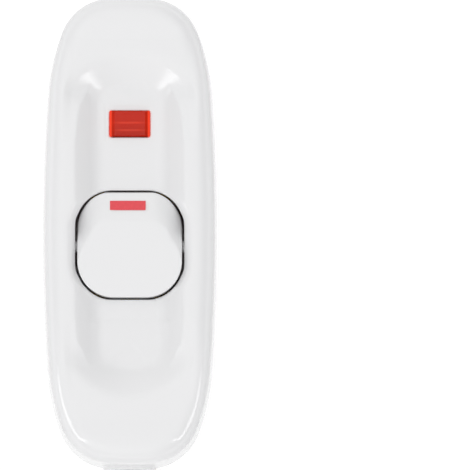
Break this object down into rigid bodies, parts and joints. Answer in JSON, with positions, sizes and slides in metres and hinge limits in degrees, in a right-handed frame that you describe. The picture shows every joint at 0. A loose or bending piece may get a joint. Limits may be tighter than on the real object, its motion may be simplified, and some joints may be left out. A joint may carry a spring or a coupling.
{
  "type": "inline cord switch",
  "caption": "Slim white inline cord switch with a scooped front, a rocker with a red mark, a red indicator lens and a round cord inlet at each end.",
  "frame": {"origin": "middle of the flat back face", "axes": "+X across the width, +Y along the length towards the indicator lens, +Z out of the front"},
  "size_m": [0.037, 0.1008, 0.025],
  "materials": {
    "white_housing": "moulded, glossy",
    "red_paint": "printed bar",
    "red_lens": "clear red, polished",
    "lamp_glass": "clear",
    "nickel": "drawn wire",
    "resistor_lacquer": "lacquered",
    "tinned_wire": "tinned",
    "brass": "stamped",
    "silver": "contact silver",
    "zinc_steel": "zinc plated",
    "clamp_plastic": "moulded",
    "nylon": "moulded",
    "spring_steel": "wound wire"
  },
  "bodies": {
    "housing": {"front_cover": "white_housing", "rear_cover": "white_housing", "indicator_lens": "red_lens", "neon_bulb": "lamp_glass", "neon_electrodes": "nickel", "ballast_resistor": "resistor_lacquer", "neutral_lead": "tinned_wire", "neutral_bar": "brass", "line_in_terminal": "brass", "line_out_terminal": "brass", "fixed_contact": "silver", "terminal_screws": "zinc_steel", "clamp_screws": "zinc_steel", "cover_screws": "zinc_steel", "upper_cord_clamp": "clamp_plastic", "lower_cord_clamp": "clamp_plastic"},
    "rocker": {"rocker": "white_housing", "rocker_mark": "red_paint", "rocker_spring": "spring_steel"},
    "plunger": {"plunger": "nylon"},
    "contact_arm": {"contact_arm": "brass", "moving_contact": "silver"}
  },
  "joints": [
    {"name": "rocker_hinge", "type": "hinge", "parent": "housing", "child": "rocker", "pos_m": [0, -0.0034, 0.0205], "axis": [1, 0, 0], "range_deg": [-14, 0]},
    {"name": "plunger_slide", "type": "slide", "parent": "rocker", "child": "plunger", "axis": [0, -0.1219, 0.9925], "range_m": [0, 0.0005], "stiffness_N_per_m": 500, "springref_m": -0.002, "deforming": ["rocker_spring"]},
    {"name": "arm_rock", "type": "hinge", "parent": "housing", "child": "contact_arm", "pos_m": [0, -0.0034, 0.0082], "axis": [1, 0, 0], "range_deg": [0, 10]}
  ],
  "couplings": [
    {"joint": "arm_rock", "follows": "rocker_hinge", "ratio": -0.71428}
  ]
}
